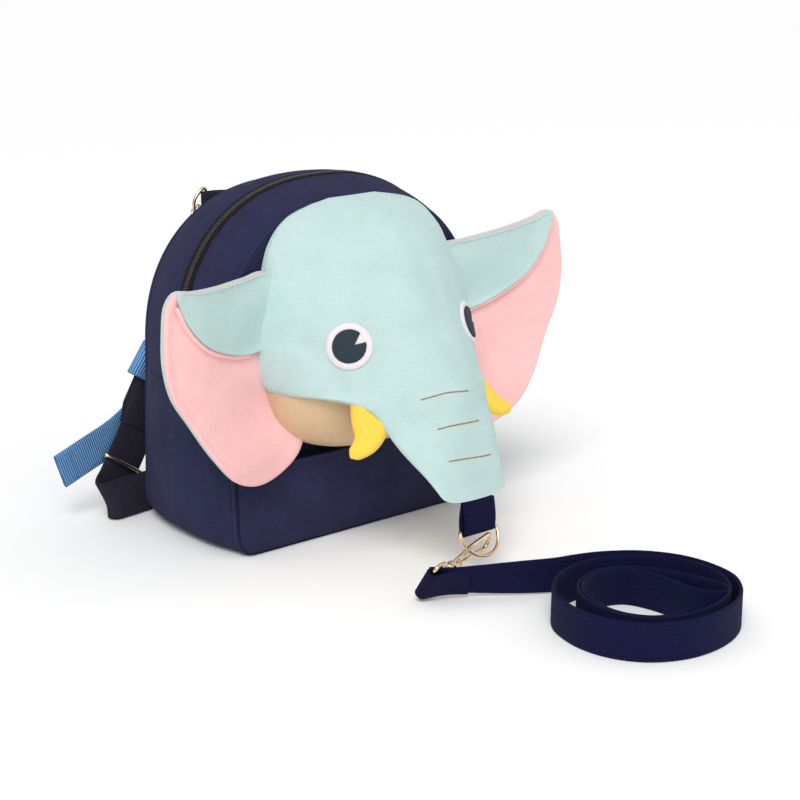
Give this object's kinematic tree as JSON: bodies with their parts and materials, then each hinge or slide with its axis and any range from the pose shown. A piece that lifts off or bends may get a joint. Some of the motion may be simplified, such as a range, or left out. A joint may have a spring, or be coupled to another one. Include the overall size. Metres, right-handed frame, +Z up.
{
  "type": "toddler harness backpack",
  "caption": "Small zipped fabric backpack with a stuffed elephant head on its front and a clip-on webbing walking lead at the trunk's tip.",
  "frame": {"origin": "on the floor, under the middle of the bag's flat bottom", "axes": "+Z up, -Y out of the front where the head is, +X to the right of someone who looks at the front"},
  "size_m": [0.3402, 0.4532, 0.2441],
  "materials": {
    "navy_canvas": "matte cotton canvas",
    "mint_cotton": "matte cotton canvas",
    "pink_cotton": "matte cotton canvas",
    "tan_cotton": "matte cotton canvas",
    "yellow_cotton": "matte felt",
    "white_felt": "matte felt",
    "slate_felt": "matte felt",
    "navy_webbing": "woven webbing",
    "strap_fabric": "matte padded fabric",
    "blue_webbing": "ribbed webbing",
    "zip_tape": "woven tape",
    "zip_teeth": "satin coil",
    "gold_metal": "polished pale gold plating"
  },
  "bodies": {
    "bag": {"back_panel": "navy_canvas", "front_panel": "navy_canvas", "gusset_lower": "navy_canvas", "gusset_front": "navy_canvas", "gusset_rear": "navy_canvas", "front_pocket": "navy_canvas", "zip_tape": "zip_tape", "zip_chain": "zip_teeth", "head": "mint_cotton", "chin": "tan_cotton", "tusk_left": "yellow_cotton", "tusk_right": "yellow_cotton", "eye_left": "white_felt", "eye_right": "white_felt", "pupil_left": "slate_felt", "pupil_right": "slate_felt", "ear_back_left": "mint_cotton", "ear_back_right": "mint_cotton", "ear_fold_left": "mint_cotton", "ear_fold_right": "mint_cotton", "ear_lining_left": "pink_cotton", "ear_lining_right": "pink_cotton", "zip_slider": "gold_metal", "trunk_tab": "navy_webbing", "d_ring": "gold_metal", "hook_body": "gold_metal", "hook_eye": "gold_metal", "lead": "navy_webbing", "shoulder_strap_left": "strap_fabric", "shoulder_strap_right": "strap_fabric", "lower_strap_left": "strap_fabric", "lower_strap_right": "strap_fabric", "slide_left": "gold_metal", "slide_right": "gold_metal", "chest_sleeve_left": "blue_webbing", "chest_sleeve_right": "blue_webbing", "chest_band_left": "blue_webbing", "chest_band_right": "blue_webbing", "top_tab_left": "strap_fabric", "top_tab_right": "strap_fabric", "top_ring_left": "gold_metal", "top_ring_right": "gold_metal", "top_clip_left": "gold_metal", "top_clip_right": "gold_metal"},
    "gate": {"hook_gate": "gold_metal"}
  },
  "joints": [
    {"name": "hook_gate_hinge", "type": "hinge", "parent": "bag", "child": "gate", "pos_m": [-0.02116, -0.18611, 0.01509], "axis": [0.2726, -0.894, -0.3557], "range_deg": [0, 16], "stiffness_Nm_per_rad": 0.01, "springref_deg": -17.19}
  ]
}
